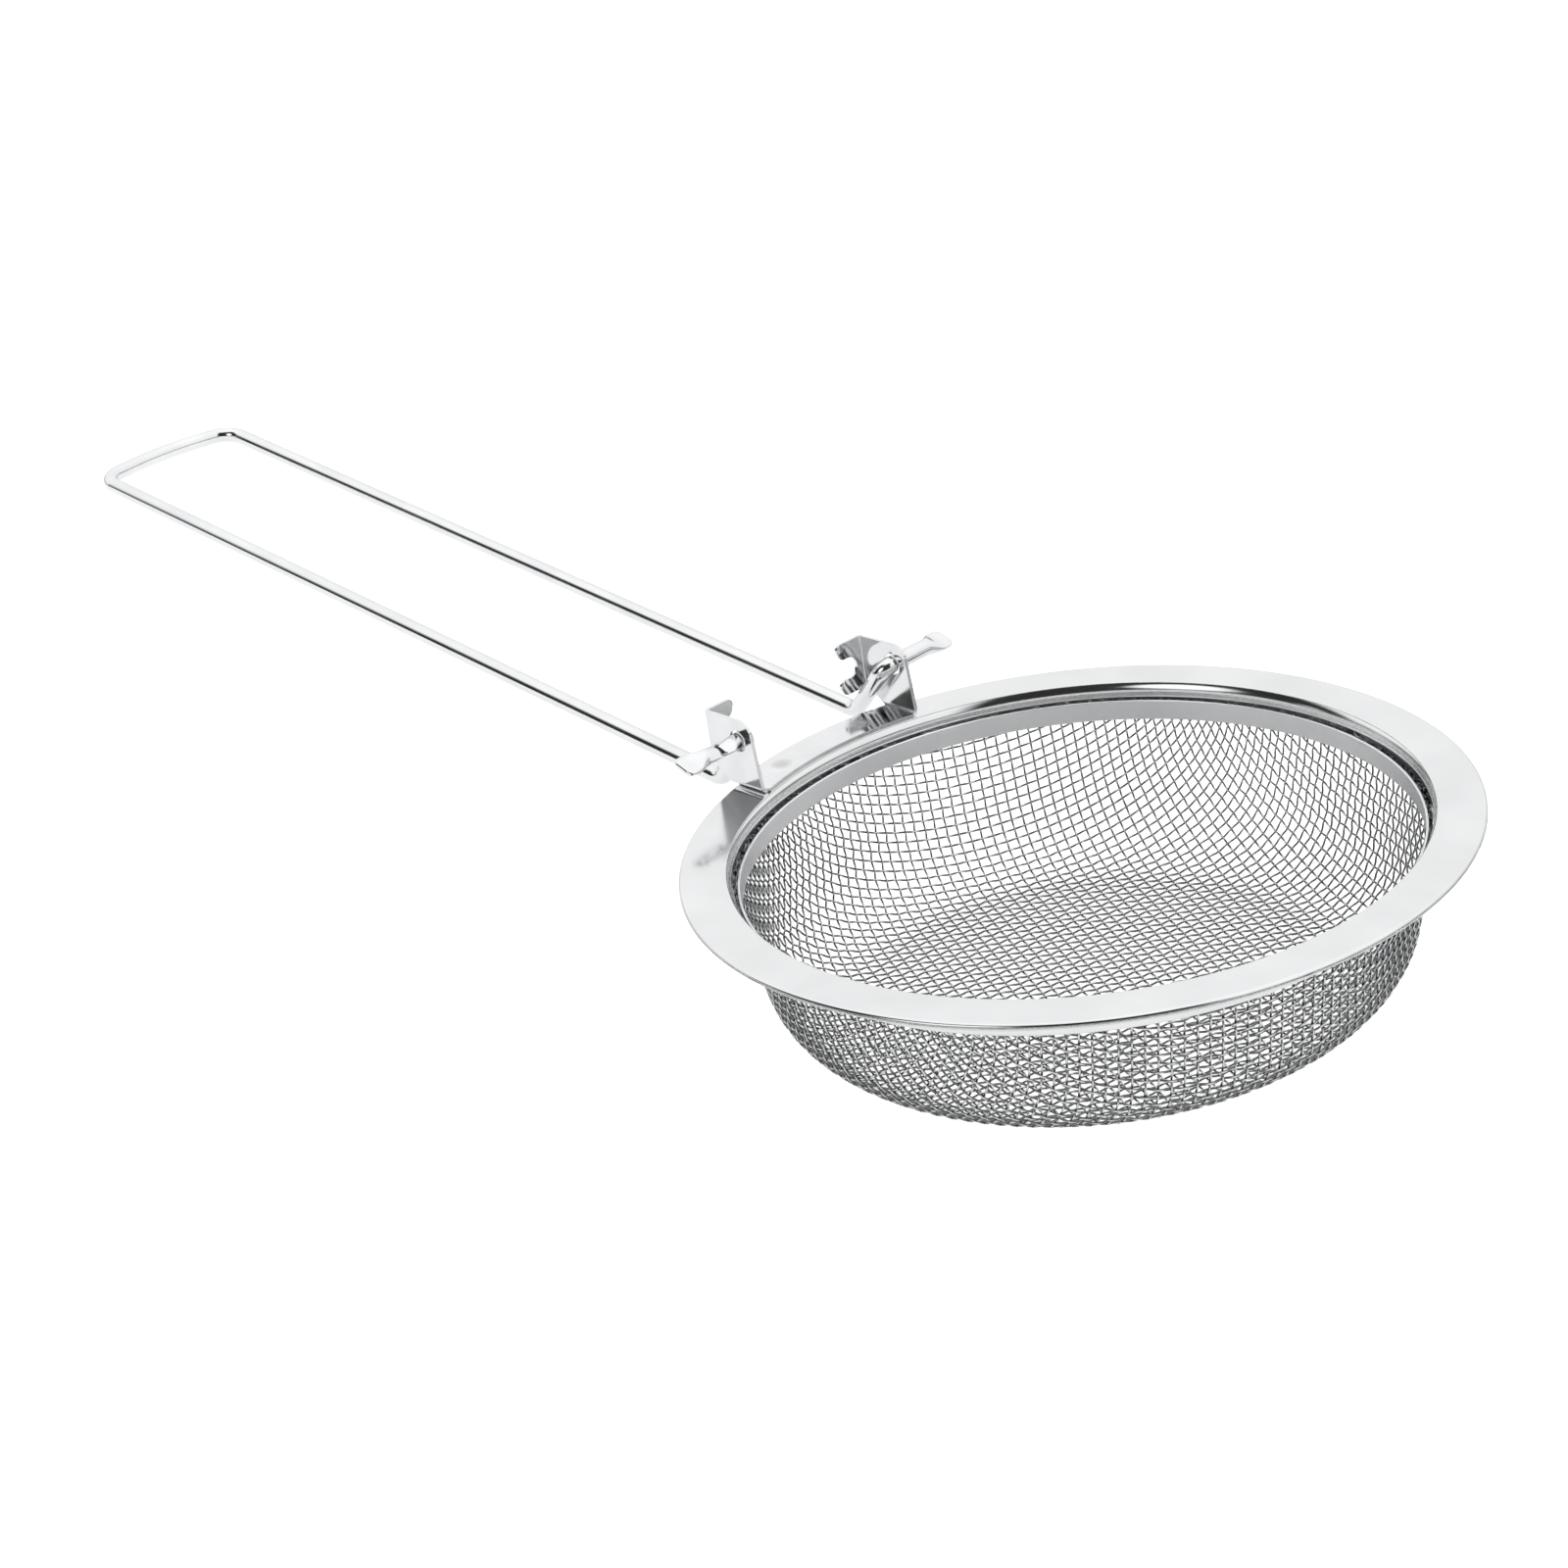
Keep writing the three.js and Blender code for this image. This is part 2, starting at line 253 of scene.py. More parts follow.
def tube(centres, across, up, half_width, half_height, sides, squareness=ROUND_SQUARENESS):
    """Points, faces and wire places of a closed tube along centres, with its section's own axes at each.
    A wire place is the distance along the wire, and the point round it, for the material to use."""
    count = len(centres)
    half_width = np.broadcast_to(half_width, count)[:, None, None]
    half_height = np.broadcast_to(half_height, count)[:, None, None]
    power = 2.0 / np.broadcast_to(squareness, count)[:, None]
    angle = np.arange(sides) * 2 * math.pi / sides
    cosine, sine = np.cos(angle), np.sin(angle)
    wide = np.sign(cosine) * np.abs(cosine) ** power
    high = np.sign(sine) * np.abs(sine) ** power
    offset_wide = wide[:, :, None] * across[:, None, :] * half_width
    offset_high = high[:, :, None] * up[:, None, :] * half_height
    vertices = (centres[:, None, :] + offset_wide + offset_high).reshape(-1, 3)
    faces = []
    for i in range(count - 1):
        here, there = i * sides, (i + 1) * sides
        for k in range(sides):
            after = (k + 1) % sides
            faces.append((here + k, here + after, there + after, there + k))
    faces.append(tuple(range(sides - 1, -1, -1)))
    faces.append(tuple(range((count - 1) * sides, count * sides)))
    steps = np.linalg.norm(np.diff(centres, axis=0), axis=1)
    along = np.concatenate([[0], np.cumsum(steps)])
    round_wide = half_width[:, :, 0] * cosine
    round_high = half_height[:, :, 0] * sine
    places = np.stack([np.tile(along[:, None], (1, sides)), round_wide, round_high], axis=-1)
    return vertices, faces, places.reshape(-1, 3)


def store_places(piece, places):
    """Keeps each point's wire place with the piece, for its material."""
    attribute = piece.data.attributes.new("wire_place", "FLOAT_VECTOR", "POINT")
    attribute.data.foreach_set("vector", (np.asarray(places) * MM).astype(np.float32).ravel())


def store_knuckles(piece, knuckles):
    """Keeps with the piece how far each point stands out on a knuckle, for its material."""
    attribute = piece.data.attributes.new("knuckle", "FLOAT", "POINT")
    attribute.data.foreach_set("value", np.asarray(knuckles).astype(np.float32))


# ---------------------------------------------------------------- materials


def add(tree, kind, inputs=None, **settings):
    """A shader node with its settings, and its inputs set or linked by name or number."""
    made = tree.nodes.new(kind)
    for name, value in settings.items():
        setattr(made, name, value)
    for name, value in (inputs or {}).items():
        if isinstance(value, bpy.types.NodeSocket):
            tree.links.new(value, made.inputs[name])
        else:
            made.inputs[name].default_value = value
    return made


def new_material(name):
    """A material with a lone Principled shader for metal: (material, tree, shader)."""
    material = bpy.data.materials.new(name)
    material.use_nodes = True
    tree = material.node_tree
    shader = tree.nodes["Principled BSDF"]
    shader.inputs["Metallic"].default_value = 1.0
    return material, tree, shader


def stretched(tree, vector, scale):
    return add(tree, "ShaderNodeVectorMath", {0: vector, 1: scale}, operation="MULTIPLY").outputs[0]


def noise(tree, vector, scale, detail=3.0):
    made = add(tree, "ShaderNodeTexNoise", {"Vector": vector, "Scale": scale, "Detail": detail})
    return made.outputs["Fac"]


def ranged(tree, value, low, high, start=NOISE_LOW, end=NOISE_HIGH):
    """Takes a value between start and end, which is where noise lies if they are left out, to the range
    low to high."""
    inputs = {"Value": value, "From Min": start, "From Max": end, "To Min": low, "To Max": high}
    return add(tree, "ShaderNodeMapRange", inputs).outputs[0]


def mixed_colour(tree, share, low, high):
    """A colour between low and high, from a noise value."""
    ramp = add(tree, "ShaderNodeValToRGB", {"Fac": share})
    first, last = ramp.color_ramp.elements
    first.position, last.position = NOISE_LOW, NOISE_HIGH
    first.color, last.color = low, high
    return ramp.outputs["Color"]


def polish(tree, shader, lines, smudges, colours, roughness, line_depth):
    """Metal with fine polishing lines, a soft smudgy gloss and a slight colour change."""
    tree.links.new(mixed_colour(tree, smudges, *colours), shader.inputs["Base Color"])
    tree.links.new(ranged(tree, smudges, *roughness), shader.inputs["Roughness"])
    inputs = {"Height": lines, "Strength": 0.6, "Distance": line_depth}
    bump = add(tree, "ShaderNodeBump", inputs)
    tree.links.new(bump.outputs["Normal"], shader.inputs["Normal"])


def turned_steel(name, roughness, shades=(0.78, 0.86)):
    """Sheet steel polished while it turned, so that its fine lines run round the axis."""
    material, tree, shader = new_material(name)
    place = add(tree, "ShaderNodeTexCoord").outputs["Object"]
    flat = stretched(tree, place, (1, 1, 0))
    radius = add(tree, "ShaderNodeVectorMath", {0: flat}, operation="LENGTH").outputs["Value"]
    split = add(tree, "ShaderNodeSeparateXYZ", {0: place})
    ring = add(tree, "ShaderNodeCombineXYZ", {"X": radius, "Y": split.outputs["Z"]}).outputs[0]
    lines = noise(tree, add(
        tree, "ShaderNodeVectorMath",
        {0: stretched(tree, ring, (90, 90, 0)), 1: stretched(tree, place, (1, 1, 1))}, operation="ADD",
    ).outputs[0], 40.0)
    smudges = noise(tree, place, 55.0)
    colours = [(shade, shade + 0.007, shade + 0.013, 1) for shade in shades]
    polish(tree, shader, lines, smudges, colours, roughness, 0.000004)
    return material


def drawn_wire(name, roughness, line_scale, line_depth, colours):
    """Bright wire, with drawing lines along its length."""
    material, tree, shader = new_material(name)
    place = add(tree, "ShaderNodeAttribute", attribute_name="wire_place").outputs["Vector"]
    lines = noise(tree, stretched(tree, place, (60, line_scale, line_scale)), 1.0)
    smudges = noise(tree, stretched(tree, place, (90, 300, 300)), 1.0)
    polish(tree, shader, lines, smudges, colours, roughness, line_depth)
    return material, tree, shader


def sheet_steel(name):
    """Bright sheet, with a dull, faintly heat-tinted spot at each weld."""
    material, tree, shader = new_material(name)
    place = add(tree, "ShaderNodeTexCoord").outputs["Object"]
    lines = noise(tree, stretched(tree, place, (1500, 90, 1500)), 1.0)
    smudges = noise(tree, place, 160.0)
    mirror = add(tree, "ShaderNodeVectorMath", {0: place}, operation="ABSOLUTE").outputs[0]
    centre = (-weld_centre().x * MM, WELD_Y * MM, (RIM_TOP + BRACKET_SHEET) * MM)
    near = add(tree, "ShaderNodeVectorMath", {0: mirror, 1: centre}, operation="DISTANCE").outputs["Value"]
    tint_start, tint_end = (share * WELD_RADIUS * MM for share in WELD_TINT)
    burnt = ranged(tree, near, 1.0, 0.0, tint_start, tint_end)
    steel = mixed_colour(tree, smudges, (0.78, 0.79, 0.80, 1), (0.87, 0.875, 0.88, 1))
    tinted = add(tree, "ShaderNodeMix", {"Factor": burnt}, data_type="RGBA", blend_type="MULTIPLY")
    tree.links.new(steel, tinted.inputs[6])
    tinted.inputs[7].default_value = (0.80, 0.78, 0.76, 1)
    tree.links.new(tinted.outputs[2], shader.inputs["Base Color"])
    gloss = ranged(tree, smudges, 0.09, 0.17)
    dull = add(tree, "ShaderNodeMath", {0: burnt, 1: 0.2, 2: gloss}, operation="MULTIPLY_ADD")
    tree.links.new(dull.outputs[0], shader.inputs["Roughness"])
    bump = add(tree, "ShaderNodeBump", {"Height": lines, "Strength": 0.5, "Distance": 0.000003})
    tree.links.new(bump.outputs["Normal"], shader.inputs["Normal"])
    return material


# ---------------------------------------------------------------- rim and band


def make_rim():
    hem_radius = HALF_ROUND * HEM_THICKNESS
    sheet_bottom = RIM_TOP - RIM_SHEET
    collar_outer = COLLAR_RADIUS + RIM_SHEET
    # The flange ends in an edge, from which the throat curves down to the upright collar.
    lean = math.asin(THROAT_DEPTH / THROAT_CURVE)
    throat_radius = COLLAR_RADIUS + THROAT_CURVE * (1 - math.cos(lean))
    throat_corner = RIM_TOP - THROAT_DEPTH + THROAT_CURVE * math.tan(lean / 2)
    under_depth, under_curve = THROAT_DEPTH - RIM_SHEET, THROAT_CURVE - RIM_SHEET
    under_lean = math.asin(under_depth / under_curve)
    under_radius = collar_outer + under_curve * (1 - math.cos(under_lean))
    under_corner = sheet_bottom - under_depth + under_curve * math.tan(under_lean / 2)
    vertices, faces = turned(rounded([
        (COLLAR_RADIUS, COLLAR_BOTTOM, RIM_EDGE),
        (collar_outer, COLLAR_BOTTOM, RIM_EDGE),
        (collar_outer, under_corner, THROAT_ROUND * under_curve),
        (under_radius, sheet_bottom, UNDER_EDGE),
        (RIM_RADIUS - HEM_WIDTH, sheet_bottom, RIM_EDGE / 2),
        (RIM_RADIUS - HEM_WIDTH, RIM_TOP - HEM_THICKNESS, RIM_EDGE),
        (RIM_RADIUS, RIM_TOP - HEM_THICKNESS, hem_radius),
        (RIM_RADIUS, RIM_TOP, hem_radius),
        (throat_radius, RIM_TOP, FLANGE_EDGE),
        (COLLAR_RADIUS, throat_corner, THROAT_ROUND * THROAT_CURVE),
    ], steps=7))
    steel = turned_steel("polished_rim_steel", (0.08, 0.17))
    rim = new_piece("steel_rim", vertices, faces, "strainer", "rim_ring", steel)
    outward(rim.data)


def make_band():
    inner = BAND_RADIUS - BAND_SHEET
    vertices, faces = turned(rounded([
        (inner, band_low.z, BAND_EDGE),
        (BAND_RADIUS, band_low.z, BAND_EDGE),
        (BAND_RADIUS, BAND_TOP, BAND_EDGE),
        (inner, BAND_TOP, BAND_EDGE),
    ]))
    steel = turned_steel("satin_band_steel", (0.30, 0.38), (0.95, 0.98))
    band = new_piece("mesh_band", vertices, faces, "strainer", "clamp_band", steel)
    outward(band.data)


# ---------------------------------------------------------------- woven basket

# The middle surface of the weave: a flat, a corner arc, a leaning wall and an upright edge in the collar.
weave_bottom = basket_low.z + MESH_WIRE
weave_corner = BASKET_CORNER_RADIUS - MESH_WIRE
weave_corner_z = basket_low.z + BASKET_CORNER_RADIUS
weave_top_radius = (BAND_RADIUS + COLLAR_RADIUS) / 2
wall_run, wall_rise = weave_top_radius - BASKET_FLAT_RADIUS, COLLAR_BOTTOM - weave_corner_z
wall_angle = math.atan2(wall_rise, wall_run) - math.acos(weave_corner / math.hypot(wall_run, wall_rise))
corner_length = weave_corner * (wall_angle + math.pi / 2)
wall_length = math.sqrt(wall_run**2 + wall_rise**2 - weave_corner**2)


def weave_profile(distance):
    """(radius, height) of the weave's middle surface at a distance from the axis along it."""
    if distance < BASKET_FLAT_RADIUS:
        return distance, weave_bottom
    distance -= BASKET_FLAT_RADIUS
    if distance < corner_length:
        angle = distance / weave_corner - math.pi / 2
        return (
            BASKET_FLAT_RADIUS + weave_corner * math.cos(angle),
            weave_corner_z + weave_corner * math.sin(angle),
        )
    distance -= corner_length
    if distance < wall_length:
        left = wall_length - distance
        return (
            weave_top_radius + left * math.sin(wall_angle),
            COLLAR_BOTTOM - left * math.cos(wall_angle),
        )
    return weave_top_radius, COLLAR_BOTTOM + distance - wall_length


def weave_surface(points):
    """The distance inside the weave's middle surface, and the inward normal, at each point."""
    points = np.atleast_2d(points)
    radius = np.hypot(points[:, 0], points[:, 1])
    run, rise = radius - BASKET_FLAT_RADIUS, points[:, 2] - weave_corner_z
    angle = np.arctan2(rise, run)
    reach = np.maximum(np.hypot(run, rise), 1e-9)
    on_flat = run <= 0
    on_corner = ~on_flat & (angle < wall_angle)
    on_edge = ~on_flat & ~on_corner & (points[:, 2] > COLLAR_BOTTOM)
    wall_r, wall_z = math.cos(wall_angle), math.sin(wall_angle)
    conditions = [on_flat, on_corner, on_edge]
    distance = np.select(
        conditions,
        [points[:, 2] - weave_bottom, weave_corner - reach, weave_top_radius - radius],
        weave_corner - run * wall_r - rise * wall_z,
    )
    normal_r = np.select(conditions, [0 * run, -run / reach, -1 + 0 * run], -wall_r)
    normal_z = np.select(conditions, [1 + 0 * run, -rise / reach, 0 * run], -wall_z)
    outward_x = points[:, 0] / np.maximum(radius, 1e-9)
    outward_y = points[:, 1] / np.maximum(radius, 1e-9)
    return distance, np.stack([normal_r * outward_x, normal_r * outward_y, normal_z], axis=-1)


def crossing(left, right, guess):
    """The point of the weave that is one pitch from each of two neighbouring crossings."""
    point = guess.copy()
    for _ in range(12):
        distance, normal = weave_surface(point)
        to_left, to_right = point - left, point - right
        errors = np.array([
            to_left @ to_left - MESH_PITCH**2, to_right @ to_right - WEFT_PITCH**2, distance[0],
        ])
        step = np.linalg.solve(np.array([2 * to_left, 2 * to_right, normal[0]]), errors)
        point -= step
        if np.abs(step).max() < 1e-7:
            break
    return point


def woven_quarter():
    """The crossings of a quarter of the weave. Wires can't stretch, so each crossing keeps its distance
    from its neighbours, and the openings shear to diamonds up the wall."""
    margin = MESH_TOP + 2 * WEFT_PITCH
    quarter = {}
    for pitch, x, y in ((MESH_PITCH, 1, 0), (WEFT_PITCH, 0, 1)):
        i = 0
        while weave_profile(i * pitch)[1] < margin:
            radius, height = weave_profile(i * pitch)
            quarter[i * x, i * y] = np.array([radius * x, radius * y, height])
            i += 1
    reach = max(max(place) for place in quarter) + 1
    for j in range(1, reach):
        for k in range(1, reach):
            if (k - 1, j) not in quarter or (k, j - 1) not in quarter:
                break
            left, right = quarter[k - 1, j], quarter[k, j - 1]
            point = crossing(left, right, left + right - quarter[k - 1, j - 1])
            if point[2] > margin:
                break
            quarter[k, j] = point
    return quarter


def smooth_steps(nodes, steps):
    """Points along a smooth curve through nodes, and their share of the way from node to node."""
    padded = np.vstack([2 * nodes[0] - nodes[1], nodes, 2 * nodes[-1] - nodes[-2]])
    points, shares = [], []
    for k in range(len(nodes) - 1):
        a, b, c, d = padded[k : k + 4]
        for i in range(steps):
            t = i / steps
            points.append(0.5 * (
                2 * b + (c - a) * t + (2 * a - 5 * b + 4 * c - d) * t**2 + (3 * b - a - 3 * c + d) * t**3
            ))
            shares.append(k + t)
    return np.array(points), np.array(shares)


def mirrored(quarter, step, row):
    """One crossing of the whole weave, out of its quarter, for a wire that runs along X."""
    return quarter[abs(step), abs(row)] * (1 if step >= 0 else -1, 1 if row >= 0 else -1, 1)


def woven_wires(quarter, weft):
    """Points, faces, wire places and knuckles of all the wires that run one way. A knuckle is 1 where a
    wire stands out most, as it passes over another, and 0 or less where it dips or lies hidden."""
    if weft:
        # These wires run along Y, so they are worked out with X and Y swapped, and swapped back.
        quarter = {(j, k): point[[1, 0, 2]] for (k, j), point in quarter.items()}
    reach = max(row for _, row in quarter)
    vertices, faces, places, knuckles, start = [], [], [], [], 0
    for row in range(-reach, reach + 1):
        last = max(step for step, beside in quarter if beside == abs(row))
        if not last:
            continue
        nodes = np.array([mirrored(quarter, step, row) for step in range(-last, last + 1)])
        if weft:
            nodes = nodes[:, [1, 0, 2]]
        centres, shares = smooth_steps(nodes, MESH_STEPS)
        _, normals = weave_surface(centres)
        # Where one way's wires pass over, the other way's pass under.
        side = (-1 if weft else 1) * (-1) ** (row - last)
        # The weave is pressed a little flatter where the band nips it.
        nipped = COLLAR_BOTTOM - NIPPED_REACH, COLLAR_BOTTOM
        press = np.interp(centres[:, 2], nipped, (1, NIPPED_WAVE))
        wave = side * MESH_WIRE / 2 * np.cos(math.pi * shares) * press
        centres = centres + normals * wave[:, None]
        inside = centres[:, 2] <= MESH_TOP
        centres, normals, wave = centres[inside], normals[inside], wave[inside]
        if len(centres) < 3:
            continue
        ahead = np.gradient(centres, axis=0)
        ahead /= np.linalg.norm(ahead, axis=1)[:, None]
        up = normals - (normals * ahead).sum(1)[:, None] * ahead
        up /= np.linalg.norm(up, axis=1)[:, None]
        across = np.cross(up, ahead)
        points, loops, spots = tube(
            centres, across, up, MESH_WIRE / 2, MESH_WIRE / 2, MESH_SIDES
        )
        vertices.append(points)
        faces += [tuple(start + corner for corner in loop) for loop in loops]
        places.append(spots + (row * WIRE_PLACE_STEP, 0, 0))
        knuckles.append(np.repeat(wave, MESH_SIDES) * spots[:, 2] / (MESH_WIRE / 2) ** 2)
        start += len(points)
    vertices = np.vstack(vertices)
    cosine, sine = math.cos(MESH_ANGLE), math.sin(MESH_ANGLE)
    turn = np.array([[cosine, sine, 0], [-sine, cosine, 0], [0, 0, 1]])
    return vertices @ turn, faces, np.vstack(places), np.concatenate(knuckles)


def woven_steel(name):
    """Wire with painted light: a painted highlight on its knuckles, where it passes over another wire, and
    painted shade in a dark base colour where it dips.
    """
    material, tree, shader = drawn_wire(name, (0.05, 0.12), 6000, 0.000002, DIP_SHADE_COLOURS)
    knuckle = add(tree, "ShaderNodeAttribute", attribute_name="knuckle").outputs["Fac"]
    # Painted highlight: the wire turns bright where it stands out most on a knuckle.
    painted_highlight = ranged(tree, knuckle, 0.0, 1.0, *KNUCKLE_HIGHLIGHT_EDGE)
    # Painted shade: the wire's dark base colours, where it dips.
    dull = shader.inputs["Base Color"].links[0].from_socket
    steel = add(tree, "ShaderNodeMix", {"Factor": painted_highlight}, data_type="RGBA")
    tree.links.new(dull, steel.inputs[6])
    steel.inputs[7].default_value = KNUCKLE_HIGHLIGHT_COLOUR
    tree.links.new(steel.outputs[2], shader.inputs["Base Color"])
    return material


def make_basket():
    quarter = woven_quarter()
    steel = woven_steel("woven_wire_steel")
    for name, weft in (("warp_wires", False), ("weft_wires", True)):
        vertices, faces, places, knuckles = woven_wires(quarter, weft)
        wires = new_piece(name, vertices, faces, "strainer", "mesh_basket", steel)
        store_places(wires, places)
        store_knuckles(wires, knuckles)


# ---------------------------------------------------------------- bracket

# The bracket is cut and folded from one sheet, so its middle surface is laid out flat first. On the flat
# sheet, "out" is the distance from the basket's axis towards the handle, and "rise" the height of the ear.
sheet_half = BRACKET_SHEET / 2
strip_z = RIM_TOP + STRIP_LIFT + sheet_half
ear_y = bracket_high.y - sheet_half
flange_out = -bracket_low.x - sheet_half
fold_y = ear_y - FOLD_RADIUS
fold_length = FOLD_RADIUS * math.pi / 2
foot_top = strip_z + FOLD_RADIUS
foot_bottom = foot_top - fold_length
flange_start = flange_out - FOLD_RADIUS
flange_end = flange_start + fold_length
bracket_top = bracket_high.z


def weld_centre():
    middle = (STRIP_INNER_RADIUS + STRIP_OUTER_RADIUS) / 2
    return Vector((-math.sqrt(middle**2 - WELD_Y**2), WELD_Y))


def folded(out, rise):
    """The place in the row frame of a point of the flat sheet, on the +Y side."""
    if rise < foot_bottom:
        return -out, fold_y - (foot_bottom - rise), strip_z
    if rise < foot_top:
        angle = (foot_top - rise) / FOLD_RADIUS
        return -out, fold_y + FOLD_RADIUS * math.cos(angle), foot_top - FOLD_RADIUS * math.sin(angle)
    if out < flange_start:
        return -out, ear_y, rise
    if out < flange_end:
        angle = (out - flange_start) / FOLD_RADIUS
        return -flange_start - FOLD_RADIUS * math.sin(angle), fold_y + FOLD_RADIUS * math.cos(angle), rise
    return -flange_out, fold_y - (out - flange_end), rise


def on_flange(y):
    """Where a point of the flange lies on the flat sheet, as its distance out."""
    return flange_end + fold_y - y


def on_strip(y):
    """Where a point of the strip lies on the flat sheet, as its rise."""
    return foot_bottom - (fold_y - y)


def strip_edge(radius, from_y, to_y, steps=14):
    """One curved edge of the strip, on the flat sheet."""
    heights = [from_y + (to_y - from_y) * i / steps for i in range(steps + 1)]
    return [Vector((math.sqrt(radius**2 - y**2), on_strip(y))) for y in heights]


def bracket_outline():
    """The outline of half the flat sheet: the strip, the ear and the flange with its notch."""
    notch_radius = NOTCH_ROUND * (NOTCH_HIGH - NOTCH_LOW) / 2
    notch_end = on_flange(NOTCH_END_Y)
    tip, tip_back = on_flange(FLANGE_TIP_Y), on_flange(FLANGE_TIP_Y + FLANGE_TIP_SLANT)
    low, high = RIM_TOP + NOTCH_LOW, RIM_TOP + NOTCH_HIGH
    corners = rounded([
        (EAR_FOOT_FRONT, foot_bottom, 0),
        (EAR_TOP_FRONT, bracket_top, EAR_CORNER_RADIUS),
        (tip, bracket_top, FLANGE_TIP_CORNER),
        (tip_back, high, FLANGE_TIP_CORNER),
        (notch_end, high, notch_radius),
        (notch_end, low, notch_radius),
        (tip, low, FLANGE_TIP_CORNER),
        (tip_back, RIM_TOP + EAR_REAR_BOTTOM, FLANGE_TIP_CORNER),
        (flange_start - EAR_REAR_INSET, RIM_TOP + EAR_REAR_BOTTOM, EAR_REAR_RADIUS),
        (EAR_FOOT_BACK, foot_bottom, 0),
    ], steps=6, support=0)
    strip_end = fold_y - STRIP_END_INSET
    inner = strip_edge(STRIP_INNER_RADIUS, 0, strip_end)
    outer = strip_edge(STRIP_OUTER_RADIUS, strip_end, 0)
    return inner + corners + outer


def circle(centre, radius, count):
    return [
        centre + radius * Vector((math.cos(2 * math.pi * i / count), math.sin(2 * math.pi * i / count)))
        for i in range(count)
    ]


def inside(point, outline):
    """True if a point lies inside a closed outline."""
    hit = False
    for k, here in enumerate(outline):
        before = outline[k - 1]
        if (here.y > point.y) != (before.y > point.y):
            share = (point.y - here.y) / (before.y - here.y)
            if point.x < here.x + share * (before.x - here.x):
                hit = not hit
    return hit


def bracket_sheet():
    """Points and triangles of the flat sheet, with lines across each fold and rings round each weld."""
    outline = bracket_outline()
    hole = circle(Vector((-hinge_x, hinge_z)), HOLE_RADIUS, 40)
    weld = Vector((-weld_centre().x, on_strip(WELD_Y)))
    loops = [outline, hole] + [circle(weld, WELD_RADIUS * share, 20) for share in WELD_RINGS]
    points, edges = [], []
    for loop in loops:
        first = len(points)
        points += loop
        edges += [(first + k, first + (k + 1) % len(loop)) for k in range(len(loop))]
    # The lines across the folds run past the outline, and what lies outside it is left out below.
    for k in range(FOLD_STEPS + 1):
        share = k / FOLD_STEPS
        rise = foot_bottom + share * fold_length
        out = flange_start + share * fold_length
        for start, end in (
            (Vector((EAR_FRONT - 2, rise)), Vector((EAR_FOOT_BACK + 6, rise))),
            (Vector((out, RIM_TOP + EAR_REAR_BOTTOM - 1)), Vector((out, bracket_top + 1))),
        ):
            edges.append((len(points), len(points) + 1))
            points += [start, end]
    found = delaunay_2d_cdt(points, edges, [], 0, 1e-5)
    vertices, triangles = found[0], found[2]
    kept = []
    for triangle in triangles:
        middle = sum((vertices[k] for k in triangle), Vector((0, 0))) / 3
        if inside(middle, outline) and not inside(middle, hole):
            kept.append(tuple(triangle))
    return vertices, kept


def make_bracket():
    flat, triangles = bracket_sheet()
    weld = weld_centre()
    half = []
    for point in flat:
        x, y, z = folded(point.x, point.y)
        dip = max(0.0, 1 - (Vector((x, y)) - weld).length / WELD_RADIUS) if z < strip_z + 1e-6 else 0.0
        half.append((x, y, z - WELD_DEPTH * dip * dip * (3 - 2 * dip)))
    other = [(x, -y, z) for x, y, z in half]
    count = len(half)
    faces = triangles + [tuple(count + k for k in reversed(triangle)) for triangle in triangles]
    steel = sheet_steel("bright_bracket_steel")
    bracket = new_piece(
        "folded_bracket", half + other, faces, "strainer", "hinge_bracket", steel
    )
    work = bmesh.new()
    work.from_mesh(bracket.data)
    bmesh.ops.remove_doubles(work, verts=work.verts, dist=0.001 * MM)
    loose = [vertex for vertex in work.verts if not vertex.link_faces]
    bmesh.ops.delete(work, geom=loose, context="VERTS")
    bmesh.ops.recalc_face_normals(work, faces=work.faces)
    work.to_mesh(bracket.data)
    work.free()
    thicken = bracket.modifiers.new("thickness", "SOLIDIFY")
    thicken.thickness, thicken.offset, thicken.use_even_offset = BRACKET_SHEET * MM, 0, True
    soften = bracket.modifiers.new("edges", "BEVEL")
    soften.width, soften.segments = SHEET_EDGE * MM, 2
    soften.limit_method, soften.angle_limit = "ANGLE", math.radians(50)
    soften.use_clamp_overlap = True
    settle(bracket)
    bracket.data.shade_smooth()
    bracket.modifiers.new("flat_faces", "WEIGHTED_NORMAL")


def settle(piece):
    """Turns what a piece's modifiers make into its own mesh."""
    graph = bpy.context.evaluated_depsgraph_get()
    finished = bpy.data.meshes.new_from_object(piece.evaluated_get(graph))
    piece.modifiers.clear()
    piece.data = finished


# ---------------------------------------------------------------- handle


def bent_path(corners, radii, steps=12):
    """Points along straight runs that meet in bends of the given radii."""
    points = [corners[0]]
    for before, corner, after, radius in zip(corners, corners[1:], corners[2:], radii):
        arriving, leaving = (corner - before).normalized(), (after - corner).normalized()
        turn = arriving.angle(leaving)
        start = corner - arriving * radius * math.tan(turn / 2)
        inward = (leaving - arriving * math.cos(turn)).normalized()
        for i in range(steps + 1):
            angle = turn * i / steps
            points.append(
                start + arriving * radius * math.sin(angle) + inward * radius * (1 - math.cos(angle))
            )
    points.append(corners[-1])
    return points


